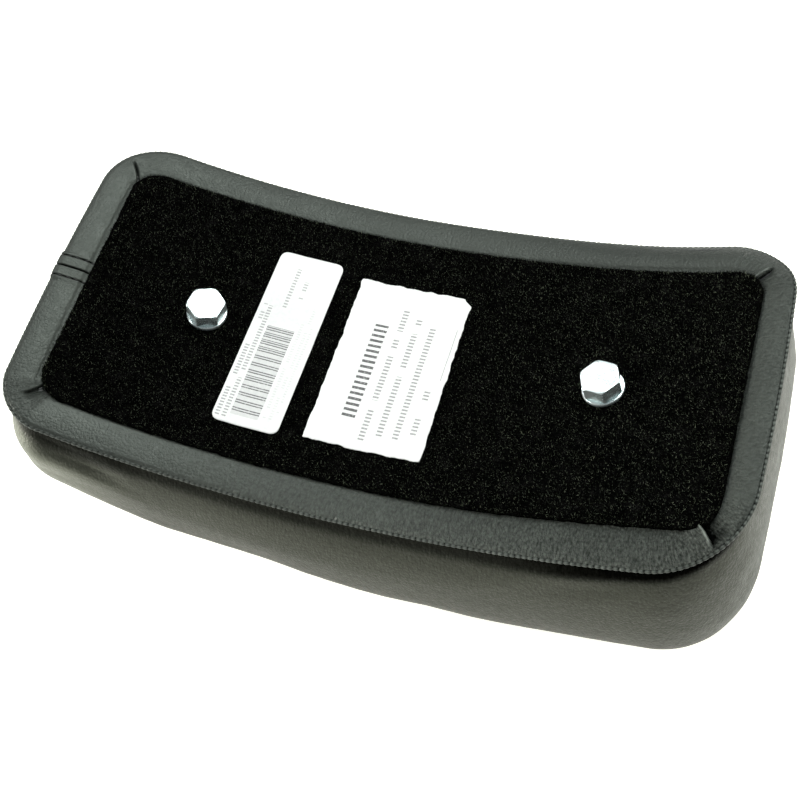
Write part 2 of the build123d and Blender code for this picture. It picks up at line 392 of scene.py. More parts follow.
def flange_level(s, y, d):
    """Height of the turned-under strip over the bent base, d in from the rim."""
    shown = 12.3 - 2.0 * END
    t = np.clip(d / shown, 0, 1.4)
    level = 0.55 * np.sin(np.pi * np.clip(t, 0, 1)) ** 0.8 - 0.35 * smooth(t, 0.92, 1.1)
    level += 0.10 * waves(s, y, 3, 30.0)
    hidden = 1 - smooth(t, 1.0, 1.25)
    corner = smooth(DIAGONAL, 0.12, 0.45)
    angle = np.arctan2(np.abs(OUT_Y), np.abs(OUT_X))
    fade = smooth(d, 0.8, 7.0)
    pucker = np.sin(angle * 34 + 1.3 * np.sin(angle * 9)) * 0.6 + np.sin(angle * 57 + 2.0) * 0.35
    level += corner * fade * 0.20 * pucker * hidden * (1 - 0.85 * AT_FAR_LEFT)
    for pleat in PLEATS:
        lip, pocket, width, slit = pleat[4:]
        across, keep = pleat_frame(s, y, pleat)
        over = 1 - smooth(across, -0.22, 0.22)
        step = lip * over * bump(np.minimum(across, 0), 3.2)
        step -= pocket * (1 - over) * bump(np.maximum(across, 0), width)
        step += 0.5 * lip * bump(across + 0.45, 0.4) - slit * bump(across - 0.15, 0.34)
        level += keep * step
    raised = 0.20 + 0.40 * (1 - smooth(d, 0, 4))
    return level + np.where(AT_LEFT_END, seam_band(joint_y(y, d), raised, 2.0), 0) * hidden


def wall_relief(h):
    """Soft unevenness of the side, and the raised end joint running down it."""
    x, y = RIM.T
    soft = smooth(h, 4.0, 14.0)
    relief = soft * (0.38 * waves(x, y, 5, 95.0, 2, h) + 0.10 * waves(x, y, 6, 24.0, 2, h * 1.7))
    joint = np.where(AT_LEFT_END, seam_band(joint_y(y, 0), 1.25, 2.8), 0)
    dip = bump(h - 2.6, 1.2) * np.where(AT_LEFT_END, 1 - smooth(np.abs(y), 5.0, 6.4), 0) * 0.5
    return relief + joint + dip


def shell(name, outer, material, node, crease, shade):
    """Closed leather sheet: a fine outer grid and a coarser inner one joined at both edges."""
    rows = len(outer)
    pick = np.unique(np.r_[np.arange(0, 13, 3), np.linspace(13, rows - 1, 9).astype(int)])
    inner = outer[pick] - grid_normals(outer)[pick] * LEATHER
    points = np.vstack([outer.reshape(-1, 3), inner.reshape(-1, 3)])
    base = rows * N
    faces = [strip_faces(rows, N), strip_faces(len(pick), N, base, flip=True)]
    c = np.arange(N)
    n = (c + 1) % N
    last_out, last_in = (rows - 1) * N, base + (len(pick) - 1) * N
    faces.append(np.stack([c, base + c, base + n, n], -1))
    faces.append(np.stack([last_out + c, last_out + n, last_in + n, last_in + c], -1))
    flow = flow_of(outer)
    values = {"crease": np.tile(crease, rows + len(pick)), "shade": np.r_[shade.ravel(), shade[pick].ravel()],
              "flow": np.vstack([flow.reshape(-1, 3), flow[pick].reshape(-1, 3)])}
    return make_object(name, points, np.vstack(faces), material, node, values=values)


def flow_of(grid):
    """Seamless surface coordinates in centimetres: round the pad on a circle, and down the section."""
    v = np.r_[0, np.cumsum(np.linalg.norm(np.diff(grid, axis=0), axis=2).mean(1))]
    turn = 2 * math.pi * RIM_S / RIM_TOTAL
    radius = RIM_TOTAL / (2 * math.pi)
    flow = np.zeros((len(grid), N, 3))
    flow[:, :, 0], flow[:, :, 1], flow[:, :, 2] = radius * np.cos(turn), radius * np.sin(turn), v[:, None]
    return flow * 0.1


# ---- materials

class Tree:
    """Short-hand for building one material's nodes."""

    def __init__(self, name):
        self.material = bpy.data.materials.new(name)
        self.material.use_nodes = True
        self.tree = self.material.node_tree
        self.shader = self.tree.nodes["Principled BSDF"]

    def node(self, kind, **settings):
        n = self.tree.nodes.new(kind)
        for key, value in settings.items():
            if hasattr(n, key):
                setattr(n, key, value)
            else:
                n.inputs[key.replace("_", " ")].default_value = value
        return n

    def link(self, a, b):
        self.tree.links.new(a, b)

    def feed(self, socket, value):
        self.link(value, self.shader.inputs[socket])

    def math(self, operation, a, b=None):
        n = self.node("ShaderNodeMath", operation=operation)
        for i, v in enumerate((a,) if b is None else (a, b)):
            if isinstance(v, (int, float)):
                n.inputs[i].default_value = v
            else:
                self.link(v, n.inputs[i])
        return n.outputs[0]

    def mul(self, a, b):
        return self.math("MULTIPLY", a, b)

    def add(self, a, b):
        return self.math("ADD", a, b)

    def mix(self, a, b, share):
        """share of a and the rest of b."""
        return self.add(self.mul(a, share), self.mul(b, 1 - share))

    def attribute(self, name, output="Fac"):
        return self.node("ShaderNodeAttribute", attribute_name=name).outputs[output]

    def ramp(self, value, stops, smooth_ramp=False):
        n = self.node("ShaderNodeValToRGB")
        n.color_ramp.interpolation = "EASE" if smooth_ramp else "LINEAR"
        while len(n.color_ramp.elements) < len(stops):
            n.color_ramp.elements.new(0.5)
        for e, (place, colour) in zip(n.color_ramp.elements, stops):
            e.position = place
            e.color = (*colour, 1)
        self.link(value, n.inputs[0])
        return n.outputs[0]

    def noise(self, vector, scale, detail=2.0, roughness=0.5):
        n = self.node("ShaderNodeTexNoise", Scale=scale, Detail=detail, Roughness=roughness)
        self.link(vector, n.inputs["Vector"])
        return n.outputs[0]

    def cells(self, vector, scale):
        n = self.node("ShaderNodeTexVoronoi", Scale=scale)
        self.link(vector, n.inputs["Vector"])
        return n.outputs["Distance"]

    def bumps(self, *layers):
        """Chain of bump nodes, each (height, strength, distance)."""
        last = None
        for height, strength, distance in layers:
            n = self.node("ShaderNodeBump", Strength=strength, Distance=distance)
            self.link(height, n.inputs["Height"])
            if last is not None:
                self.link(last, n.inputs["Normal"])
            last = n.outputs["Normal"]
        self.link(last, self.shader.inputs["Normal"])

    def set(self, **values):
        for key, value in values.items():
            self.shader.inputs[key.replace("_", " ")].default_value = value

    def place(self):
        return self.node("ShaderNodeTexCoord").outputs["Object"]


def grey(v):
    return (v, v, v)


def leather_material(name, dark, light, grain=1.0, sheen=(1.0, 1.0, 1.0)):
    t = Tree(name)
    # sheen tints the reflections, a painted colour for the light they show
    t.shader.inputs["Specular Tint"].default_value = (*sheen, 1)
    where = t.place()
    broad = t.noise(where, 28.0, 3.0)
    fine = t.noise(where, 420.0, 4.0, 0.6)
    colour = t.ramp(t.mix(broad, fine, 0.65),
                    [(0.35, dark), (0.68, light)])
    rough = t.ramp(fine, [(0.3, grey(0.40)), (0.7, grey(0.54))])
    t.feed("Roughness", rough)
    pebble = t.ramp(t.cells(where, 1000.0), [(0.0, grey(1.0)), (0.42, grey(0.55)), (0.8, grey(0.0))], True)
    small = t.ramp(t.cells(where, 2100.0), [(0.0, grey(1.0)), (0.7, grey(0.0))], True)
    flow = t.attribute("flow", "Vector")
    stretch = t.node("ShaderNodeMapping")
    stretch.inputs["Scale"].default_value = (10.0, 10.0, 3.8)
    t.link(flow, stretch.inputs["Vector"])
    folds = t.noise(stretch.outputs[0], 1.25, 4.0, 0.62)
    amount, shade = t.attribute("crease"), t.attribute("shade")
    # Painted shade in the hollows of the creases and pebbles, lighter on their tops, as much as the crease
    # attribute asks
    painted_crease_shade = t.add(t.mul(t.math("SUBTRACT", folds, 0.5), 1.3),
                      t.mul(t.math("SUBTRACT", pebble, 0.5), 0.32))
    painted_crease_shade = t.mul(painted_crease_shade, amount)
    # The gain puts painted light and shade, from the shade attribute and the creases, into the base colour
    # and, squared, into the specular level, so above 1 it paints extra sheen
    painted_light_gain = t.math("MAXIMUM", t.math("SUBTRACT", t.add(painted_crease_shade, 1.0), shade), 0.06)
    scaled = t.node("ShaderNodeVectorMath", operation="SCALE")
    t.link(colour, scaled.inputs[0])
    t.link(painted_light_gain, scaled.inputs["Scale"])
    t.feed("Base Color", scaled.outputs[0])
    gloss = t.math("MINIMUM", t.mul(t.mul(painted_light_gain, painted_light_gain), 0.5), 1.6)
    t.feed("Specular IOR Level", gloss)
    folds = t.mul(folds, amount)
    pebble = t.mul(pebble, t.add(t.mul(amount, 0.8), 0.34))
    t.bumps((small, 0.45 * grain, 0.00009), (pebble, 0.8 * grain, 0.00026), (fine, 0.4 * grain, 0.00018),
            (folds, 1.0, 0.0009))
    return t.material


def carpet_material():
    t = Tree("carpet_pile")
    where = t.place()
    speck = t.noise(where, 1500.0, 3.0, 0.7)
    tuft = t.noise(where, 260.0, 2.0)
    colour = t.ramp(t.mul(speck, t.add(tuft, 0.5)),
                    [(0.42, grey(0.0006)), (0.62, grey(0.0025)), (0.82, (0.014, 0.014, 0.013))])
    t.feed("Base Color", colour)
    t.set(Roughness=0.95, Specular_IOR_Level=0.0)
    t.bumps((speck, 0.9, 0.0006), (tuft, 0.6, 0.0012))
    return t.material


def fibre_material():
    t = Tree("carpet_fibre")
    colour = t.ramp(t.attribute("tone"), [
        (0.0, grey(0.0003)), (0.30, (0.0036, 0.0042, 0.0028)), (0.60, (0.036, 0.043, 0.029)),
        (1.0, (0.165, 0.185, 0.135))])
    t.feed("Base Color", colour)
    rough = t.ramp(t.noise(t.place(), 900.0), [(0.3, grey(0.55)), (0.7, grey(0.8))])
    t.feed("Roughness", rough)
    t.set(Specular_IOR_Level=0.02)
    return t.material


def metal_material(name, colour_a, colour_b, rough_a, rough_b, metallic=1.0, scratch=0.12):
    t = Tree(name)
    where = t.place()
    cloud = t.noise(where, 160.0, 3.0, 0.6)
    fine = t.noise(where, 2600.0, 3.0, 0.7)
    t.feed("Base Color", t.ramp(cloud, [(0.3, colour_a), (0.7, colour_b)]))
    t.feed("Roughness", t.ramp(t.mix(cloud, fine, 0.6), [(0.3, grey(rough_a)), (0.7, grey(rough_b))]))
    t.set(Metallic=metallic)
    t.bumps((fine, scratch, 0.00006), (cloud, scratch, 0.0002))
    return t.material


def plain_material(name, dark, light, rough, scale, height):
    """Moulded, foam or thread surface: mottled colour with a grain of the given scale."""
    t = Tree(name)
    where = t.place()
    grain = t.noise(where, scale, 4.0, 0.6)
    t.feed("Base Color", t.ramp(grain, [(0.32, dark), (0.68, light)]))
    t.feed("Roughness", t.ramp(grain, [(0.3, grey(rough - 0.07)), (0.7, grey(rough + 0.07))]))
    t.bumps((grain, 0.6, height))
    return t.material


def label_material(name, marks):
    """White paper with plain printed ticks and bar pairs, no lettering.

    marks = (u0, u1, v0, v1, kind, pitch, ink) in mm on the UV; rows of ticks run along v.
    """
    t = Tree(name)
    uv = t.node("ShaderNodeUVMap", uv_map="UVMap").outputs[0]
    split = t.node("ShaderNodeSeparateXYZ")
    t.link(uv, split.inputs[0])
    u, v = split.outputs[0], split.outputs[1]
    ink = None

    def between(x, lo, hi):
        return t.mul(t.math("GREATER_THAN", x, lo), t.math("LESS_THAN", x, hi))

    def chance(x, pitch, seed):
        cell = t.node("ShaderNodeTexWhiteNoise", noise_dimensions="1D")
        t.link(t.add(t.math("FLOOR", t.math("DIVIDE", x, pitch)), seed), cell.inputs["W"])
        return cell.outputs["Value"]

    for i, (u0, u1, v0, v1, kind, pitch, dark) in enumerate(marks):
        inside = t.mul(between(u, u0, u1), between(v, v0, v1))
        if kind != "plain":
            part = t.math("FRACT", t.math("DIVIDE", t.add(v, 100.0), pitch))
        if kind == "pairs":
            pair = t.math("MAXIMUM", between(part, 0.06, 0.20), between(part, 0.36, 0.50))
            third = t.mul(between(part, 0.64, 0.74),
                           t.math("GREATER_THAN", chance(v, pitch, i * 31.0), 0.45))
            inside = t.mul(inside, t.math("MAXIMUM", pair, third))
        elif kind == "ticks":
            inside = t.mul(inside, between(part, 0.2, 0.68))
            if pitch < 2.0:
                words = t.math("GREATER_THAN", chance(v, pitch * 2.6, i * 17.0), 0.16)
                inside = t.mul(inside, words)
        inside = t.mul(inside, dark)
        ink = inside if ink is None else t.math("MAXIMUM", ink, inside)
    where = t.place()
    fibre = t.noise(where, 700.0, 3.0)
    paper = t.ramp(fibre, [(0.3, (0.70, 0.71, 0.71)), (0.7, (0.78, 0.785, 0.78))])
    worn = t.mul(ink, t.ramp(t.noise(where, 1600.0, 2.0), [(0.30, grey(0.55)), (0.45, grey(1.0))]))
    mix = t.node("ShaderNodeMix", data_type="RGBA")
    t.link(worn, mix.inputs[0])
    t.link(paper, mix.inputs[6])
    mix.inputs[7].default_value = (0.03, 0.03, 0.032, 1)
    t.feed("Base Color", mix.outputs[2])
    t.feed("Roughness", t.ramp(fibre, [(0.3, grey(0.5)), (0.7, grey(0.62))]))
    t.bumps((fibre, 0.25, 0.0001))
    return t.material


DARK, LIGHT = (0.0150, 0.0172, 0.0150), (0.0250, 0.0285, 0.0250)
leather_flange = leather_material("leather_turned_under", DARK, LIGHT, 1.0, (0.90, 0.98, 0.90))
# The side's copy of the leather is tinted warmer in colour and sheen: painted light from the floor
leather_band_floor_lit = leather_material("leather_side", (0.013, 0.014, 0.0105), (0.022, 0.0235, 0.018), 0.8,
                                (0.90, 0.93, 0.74))
leather_face = leather_material("leather_face", DARK, LIGHT, 0.9)
bead_leather = leather_material("leather_bead", DARK, LIGHT, 1.2, (0.90, 0.98, 0.90))
thread = plain_material("stitch_thread", (0.008, 0.008, 0.008), (0.022, 0.022, 0.022), 0.6, 1800.0, 0.0001)
zinc = metal_material("bright_zinc", (0.74, 0.87, 0.88), (0.84, 0.93, 0.94), 0.22, 0.34, 0.82)
wire = metal_material("staple_wire", (0.55, 0.55, 0.54), (0.70, 0.70, 0.69), 0.30, 0.45)
foam = plain_material("foam_cells", (0.55, 0.50, 0.36), (0.70, 0.66, 0.52), 0.85, 900.0, 0.0004)
plastic = plain_material("moulded_base", (0.012, 0.012, 0.013), (0.028, 0.028, 0.030), 0.5, 500.0, 0.0002)

# ---- leather cover

FLANGE_IN = 21.0
flange_rows = [("back", d) for d in np.r_[np.linspace(FLANGE_IN, 14.5, 6), np.linspace(13.8, 0.9, 38)]]
roll = [(-0.62, 0.0), (-0.32, 0.10), (-0.11, 0.32), (0.0, 0.7), (-0.03, 1.1), (-0.24, 1.6), (-0.72, 2.2),
        (-1.35, 2.9), (-1.95, 3.6), (-2.4, 4.3), (-2.6, 4.9), (-2.6, 5.4)]
flange_rows += [("roll", r) for r in roll[:3]]
band_rows = [("roll", r) for r in roll[3:]]
band_rows += [("wall", v) for v in np.linspace(0, 1, 44) ** 1.15]
band_rows += [("shoulder", v) for v in np.linspace(0, 1, 20)[1:]]
edge_rows = [("edge", v) for v in np.linspace(0, 1, 14)]

flange_grid = skin_rows(flange_rows)
band_grid = skin_rows(band_rows)
edge_grid = skin_rows(edge_rows)
middle = np.array([-30.0, 0.0])
face_rings = []
for share in np.linspace(0, 0.985, 48)[1:]:
    edge = edge_grid[-1]
    xy = edge[:, :2] + (middle - edge[:, :2]) * share
    z = front_z(xy[:, 0], xy[:, 1])
    face_rings.append(np.c_[xy, z])
face_grid = np.vstack([edge_grid, face_rings])
lift = smooth(np.arange(len(face_grid)), 6, 20)[:, None]
x, y = face_grid[:, :, 0], face_grid[:, :, 1]
face_grid[:, :, 2] += lift * (0.30 * (waves(x, y, 9, 90.0, 2) + 1) + 0.06 * (waves(x, y, 10, 26.0, 2) + 1))


def face_normals():
    """Outward normals of the front, kept facing down where the rings crowd together."""
    normal = grid_normals(face_grid)
    normal = np.where(normal[:, :, 2:] > 0.05, -normal, normal)
    for _ in range(4):
        normal = normal + np.roll(normal, 1, 1) + np.roll(normal, -1, 1)
        normal /= np.linalg.norm(normal, axis=2, keepdims=True)
    return normal


def cloth_relief():
    """Pucker of a pressurised cloth cover held at the rim and the face seam, in mm along its normals.

    Only what differs from each row's mean is returned, capped at CLOTH_LIMIT, so the outline stays
    as fitted.
    """
    cols = np.linspace(0, N, CLOTH_COLS, endpoint=False).astype(int)
    rows_b = np.linspace(0, len(band_grid) - 1, 20).astype(int)
    rows_f = np.linspace(0, len(face_grid) - 1, 18).astype(int)
    grid = np.vstack([band_grid[rows_b][:, cols], face_grid[rows_f][:, cols]])
    normal = grid_normals(grid)
    count = len(grid)
    c = np.arange(CLOTH_COLS)
    n = (c + 1) % CLOTH_COLS
    top, bottom, last = count * CLOTH_COLS, count * CLOTH_COLS + 1, (count - 1) * CLOTH_COLS
    points = np.vstack([grid.reshape(-1, 3), on_back(0.0, 0.0, -2.0), grid[-1].mean(0)])
    fans = [[top, a, b] for a, b in zip(c, n)] + [[bottom, last + b, last + a] for a, b in zip(c, n)]
    mesh = bpy.data.meshes.new("cloth_test")
    mesh.from_pydata((points * MM).tolist(), [], strip_faces(count, CLOTH_COLS).tolist() + fans)
    obj = bpy.data.objects.new("cloth_test", mesh)
    bpy.context.scene.collection.objects.link(obj)
    held = obj.vertex_groups.new(name="held")
    held.add(list(range(2 * CLOTH_COLS)) + [top], 1.0, "REPLACE")
    seam_rows = range((len(rows_b) - 1) * CLOTH_COLS, (len(rows_b) + 1) * CLOTH_COLS)
    held.add(list(seam_rows), 0.9, "REPLACE")
    cloth = obj.modifiers.new("cloth", "CLOTH")
    settings = cloth.settings
    settings.quality, settings.mass = 6, 0.3
    settings.tension_stiffness = settings.compression_stiffness = 12.0
    settings.shear_stiffness, settings.bending_stiffness = 4.0, 0.6
    settings.vertex_group_mass = "held"
    settings.use_pressure, settings.uniform_pressure_force = True, 4.0
    settings.effector_weights.gravity = 0.0
    cloth.point_cache.frame_start, cloth.point_cache.frame_end = 1, CLOTH_FRAMES
    for frame_number in range(1, CLOTH_FRAMES + 1):
        bpy.context.scene.frame_set(frame_number)
    settled = obj.evaluated_get(bpy.context.evaluated_depsgraph_get())
    moved = np.zeros(len(points) * 3)
    settled.data.vertices.foreach_get("co", moved)
    bpy.data.objects.remove(obj)
    bpy.context.scene.frame_set(1)
    moved = moved.reshape(-1, 3)[:-2].reshape(count, CLOTH_COLS, 3) / MM
    push = np.clip(((moved - grid) * normal).sum(2), -4.0, 4.0)
    push = push - push.mean(1, keepdims=True)
    push = (np.roll(push, 1, 1) + 2 * push + np.roll(push, -1, 1)) / 4
    push = np.clip(push, -CLOTH_LIMIT, CLOTH_LIMIT)
    print("cloth push mm", round(float(push.min()), 2), round(float(push.max()), 2))

    def spread(part, rows, length):
        wide = np.array([np.interp(np.arange(N), np.r_[cols, N], np.r_[row, row[0]]) for row in part])
        return np.array([np.interp(np.arange(length), rows, wide[:, i]) for i in range(N)]).T

    return (spread(push[:len(rows_b)], rows_b, len(band_grid)),
            spread(push[len(rows_b):], rows_f, len(face_grid)))


CLOTH_COLS, CLOTH_FRAMES, CLOTH_LIMIT = 168, 20, 1.1
band_push, face_push = cloth_relief()
band_grid = band_grid + grid_normals(band_grid) * band_push[:, :, None]
outer_rings = (1 - smooth(np.arange(len(face_grid)), 34, 52))[:, None, None]
face_grid = face_grid + face_normals() * face_push[:, :, None] * outer_rings
face_grid[:, :, 2] = np.maximum(face_grid[:, :, 2], 0.02)

# Band and face both roll into the seam between them
tail = smooth(np.arange(len(band_grid)), len(band_grid) - 6, len(band_grid) - 1)[:, None, None]
band_grid = band_grid - grid_normals(band_grid) * tail
first = (1 - smooth(np.arange(len(face_grid)), 0, 5))[:, None, None]
face_grid = face_grid - face_normals() * first

near_side = smooth(-OUT_Y, 0.2, 0.9) * smooth(RIM_X, -120, 0)
corners = smooth(DIAGONAL, 0.1, 0.4)
right_end = (RIM_X > 0) * smooth(np.abs(OUT_X), 0.5, 0.95)
crease_flange = (0.05 + 0.50 * near_side + 0.42 * near_side * smooth(RIM_X, -10, 80) + 0.45 * right_end
                 + 0.30 * corners * (1 - 0.8 * AT_FAR_LEFT))
crease_wall = 0.20 + 0.08 * near_side

flange_back = np.array([(RIM - RIM_N * row[1]) if row[0] == "back" else RIM for row in flange_rows])
inset = np.array([row[1] if row[0] == "back" else 0.0 for row in flange_rows])[:, None]
# Regional painted light and shade, fitted to one picture; they are not a property of the leather
shade_flange = flange_shade(flange_back[:, :, 0], flange_back[:, :, 1], inset)
shade_flange += 0.13 * near_side * smooth(RIM_X, 10, 90)
shade_flange += 0.06 * smooth(OUT_Y, 0.3, 0.9)
shade_flange -= 0.06 * smooth(-OUT_Y, 0.3, 0.9) * (1 - smooth(RIM_X, -60, 40))
shade_flange += 0.04 * (RIM_X < 0) * END
down = np.vstack([np.zeros(N), np.cumsum(np.linalg.norm(np.diff(band_grid, axis=0), axis=2), axis=0)])
right = smooth(RIM_X, 30, 112)
# Painted light on the side: painted shade in the groove under the rim, deeper and wider at the right, painted
# shade on the near side and the right end, and a painted sheen lightening the lower near-left side; the end
# joint's dark lines go on top
shade_band = (0.52 + 0.38 * right) * (1 - smooth(down, 8.0 + 2.0 * right, 12.5 + 1.5 * right))
shade_band += (0.07 + 0.05 * smooth(down, 15, 30)) * np.maximum(-OUT_Y, 0)
shade_band += 0.03 * right_end
shade_band -= 0.90 * AT_NEAR_LEFT * smooth(down, 8, 20)
shade_band = np.clip(shade_band + joint_shade(joint_y(RIM_Y, 0), down) * AT_LEFT_END, -1.0, 1)

shell("cover_flange", flange_grid, leather_flange, "cover_turn_under", crease_flange, shade_flange)
band = shell("cover_band", band_grid, leather_band_floor_lit, "cover_side_band", crease_wall, shade_band)


def face_shell():
    """Front panel: rings closing on a point, with a coarser inner skin."""
    rows = len(face_grid)
    pick = np.unique(np.linspace(0, rows - 1, 12).astype(int))
    inner = face_grid[pick] - face_normals()[pick] * LEATHER
    c = np.arange(N)
    n = (c + 1) % N
    base = rows * N
    tips = base + len(pick) * N
    points = np.vstack([face_grid.reshape(-1, 3), inner.reshape(-1, 3),
                        face_grid[-1].mean(0), inner[-1].mean(0)])
    quads = np.vstack([strip_faces(rows, N), strip_faces(len(pick), N, base, flip=True),
                       np.stack([c, n, base + n, base + c], -1)])
    fans = fan(base - N, N, tips, True) + fan(tips - N, N, tips + 1)
    return make_object("cover_face", points, quads.tolist() + fans, leather_face, "cover_face_panel",
                       values={"crease": np.full(len(points), 0.06), "flow": points * 0.1})


face = face_shell()


def foam_core():
    """Foam block, following the inside of the cover under the bent base."""
    step = np.arange(0, N, 4)
    rim, out = RIM[step], RIM_N[step]
    rows = []
    for inset in (40.0, 27.0, 14.0, 5.6):
        keep = 1 - np.clip((inset - 24.0) / 80.0, 0, 1)
        s, y = ((rim - out * min(inset, 24.0)) * keep).T
        rows.append(on_back(s, y, FOAM_TOP))
    wall = np.vstack([band_grid[16::6] - grid_normals(band_grid)[16::6] * 2.4,
                      face_grid[2::5] - face_normals()[2::5] * 2.0])
    rows = np.vstack([rows, wall[:, step]])
    points = np.vstack([rows.reshape(-1, 3), on_back(0.0, 0.0, FOAM_TOP), rows[-1].mean(0)])
    return make_object("foam_core", points, capped_faces(len(rows), len(step)), foam,
                       "foam_cushion")


core = foam_core()


def tube(name, path, normal, side, radius, count, material, node, shade):
    """Closed loop of cord round a path; radius may vary along it."""
    a = np.linspace(0, 2 * math.pi, count, endpoint=False)
    grid = (path[None] + np.cos(a)[:, None, None] * side[None] * radius[None, :, None]
            + np.sin(a)[:, None, None] * normal[None] * radius[None, :, None])
    rows, cols = count, len(path)
    r, c = np.meshgrid(np.arange(rows), np.arange(cols), indexing="ij")
    n, m = (c + 1) % cols, (r + 1) % rows
    quads = np.stack([r * cols + c, r * cols + n, m * cols + n, m * cols + c], -1).reshape(-1, 4)
    points = grid.reshape(-1, 3)
    values = {"crease": np.full(len(points), 0.1), "flow": points * 0.1, "shade": np.tile(shade, rows)}
    make_object(name, points, quads, material, node, values=values)


bead_path, bead_out, _, bead_total = pick_stations(rim_curve, 0.42)
bead_along = np.linspace(0, bead_total, len(bead_path), endpoint=False)
bead_pitch = bead_total / round(bead_total / 2.0)
bead_up, bead_side = bend_up(bead_path[:, 0]), over_bend(bead_path[:, 0], bead_out)
bead_centre = on_back(*bead_path.T) + bead_side * 0.10 - bead_up * 1.00
bead_centre[:, 2] -= droop(bead_path[:, 0], bead_out[:, 1])
beat = np.abs(np.sin(np.pi * bead_along / bead_pitch)) ** 0.7
swell = 0.38 + 0.26 * beat + 0.03 * waves(bead_path[:, 0], bead_path[:, 1], 21, 14.0)
# The bead's last argument is painted light: painted shade between its bumps and painted highlights on their
# tops, fainter towards the left end
tube("rim_bead_leather", bead_centre, bead_up, bead_side, swell, 8, bead_leather, "rim_bead",
     (0.75 - 1.15 * beat) * (0.5 + 0.5 * smooth(bead_path[:, 0], -110, 0)))


def stitches(name, spots, node, radius, half):
    """Short rounded thread lengths. spots = (middle, along, up), one per stitch."""
    rings = [(-1.0, 0.35), (-0.82, 0.9), (-0.4, 1.1), (0.0, 1.15), (0.4, 1.1), (0.82, 0.9), (1.0, 0.35)]
    sides = 7
    points, faces = [], []
    for middle_point, along, up in spots:
        across = np.cross(along, up)
        base = len(points)
        for t, w in rings:
            sag = -0.35 * abs(t) ** 3
            for k in range(sides):
                a = 2 * math.pi * k / sides
                points.append(middle_point + along * half * t + up * (sag + radius * w * math.sin(a))
                              + across * radius * w * math.cos(a))
        faces += strip_faces(len(rings), sides, base, flip=True).tolist()
        faces.append([base + k for k in range(sides)][::-1])
        faces.append([base + (len(rings) - 1) * sides + k for k in range(sides)])
    make_object(name, points, faces, thread, node)


def face_seam_spots():
    ring = (band_grid[-1] + face_grid[0]) / 2
    up = grid_normals(np.vstack([band_grid[-3:], face_grid[:3]]))[2]
    length = run_length(np.vstack([ring, ring[:1]]))
    count = int(length[-1] / 3.4)
    for k in range(count):
        i = int(np.searchsorted(length, k * length[-1] / count)) % N
        along = ring[(i + 1) % N] - ring[i - 1]
        yield ring[i] + up[i] * 0.12, along / np.linalg.norm(along), up[i]


def end_seam_spots():
    whole = np.vstack([flange_grid[8:], band_grid[:-2]])
    normal = grid_normals(whole)
    inset = [row[1] if row[0] == "back" else 0.0 for row in flange_rows[8:]] + [0.0] * (len(band_grid) - 2)
    for seam_y in (-SEAM_ROW, SEAM_ROW):
        at = [int(np.argmin(np.abs(joint_y(RIM_Y, d) - seam_y) + 1000 * (RIM_X > 0))) for d in inset]
        line, up = whole[np.arange(len(whole)), at], normal[np.arange(len(whole)), at]
        length = run_length(line)
        for k in range(int(length[-1] / 3.3)):
            j = int(np.clip(np.searchsorted(length, k * 3.3 + 1.6), 1, len(line) - 2))
            along = line[j + 1] - line[j - 1]
            yield line[j] + up[j] * 0.05, along / np.linalg.norm(along), up[j]


stitches("face_seam_stitches", face_seam_spots(), "face_seam_thread", 0.34, 1.35)
stitches("end_seam_stitches", end_seam_spots(), "end_seam_thread", 0.28, 1.15)

# ---- carpet

BOLTS = [(-1, "left"), (1, "right")]


def from_bolt(s, y):
    return np.minimum(np.hypot(s + BOLT_ARC, y), np.hypot(s - BOLT_ARC, y))


def pile_level(s, y):
    """Top of the carpet backing under the loose fibres, pressed down round the washers."""
    level = 1.25 + 0.16 * waves(s, y, 31, 5.0, 2) + 0.10 * waves(s, y, 32, 1.7, 2)
    r = from_bolt(s, y)
    return level - 0.45 * (1 - smooth(r, 8.0, 12.5)) - 1.5 * (1 - smooth(r, 7.7, 8.3))


def carpet_shape(s, y):
    """The cut piece is a little narrower towards the right and shorter at the left."""
    return s + 1.1 * smooth(-s, 60, 122), y * (1 - 0.047 * smooth(s, 10, 118) - 0.012 * smooth(-s, 60, 120))


def slab(name, half_l, half_w, corner, material, node):
    """Carpet backing: a thin closed body over the bend, with a slightly ragged cut edge."""
    curve = bowed_outline(half_l, half_w, corner, 0.0)
    ring, out, _, _ = pick_stations(curve, 1.15)
    ragged = 0.22 * waves(ring[:, 0], ring[:, 1], 33, 4.0) + 0.12 * waves(ring[:, 0], ring[:, 1], 34, 1.3, 2)
    ring = np.stack(carpet_shape(*(ring + out * ragged[:, None]).T), -1)
    rows = []
    for share in np.linspace(0.98, 0.03, 26):
        s, y = (ring * (1 - share)).T
        rows.append(on_back(s, y, CARPET_UNDER))
    for o, level in ((-1.0, CARPET_UNDER), (-0.1, CARPET_UNDER), (0.05, -0.4), (0.1, 0.4), (-0.15, 0.85),
                     (-0.6, 1.1)):
        s, y = (ring + out * o).T
        rows.append(on_back(s, y, level))
    for share in np.linspace(0.015, 0.995, 76):
        s, y = ((ring - out * 0.9) * (1 - share)).T
        rows.append(on_back(s, y, pile_level(s, y)))
    points = np.vstack([*rows, rows[-1].mean(0), on_back(0.0, 0.0, CARPET_UNDER)])
    make_object(name, points, capped_faces(len(rows), len(ring), True), material, node)


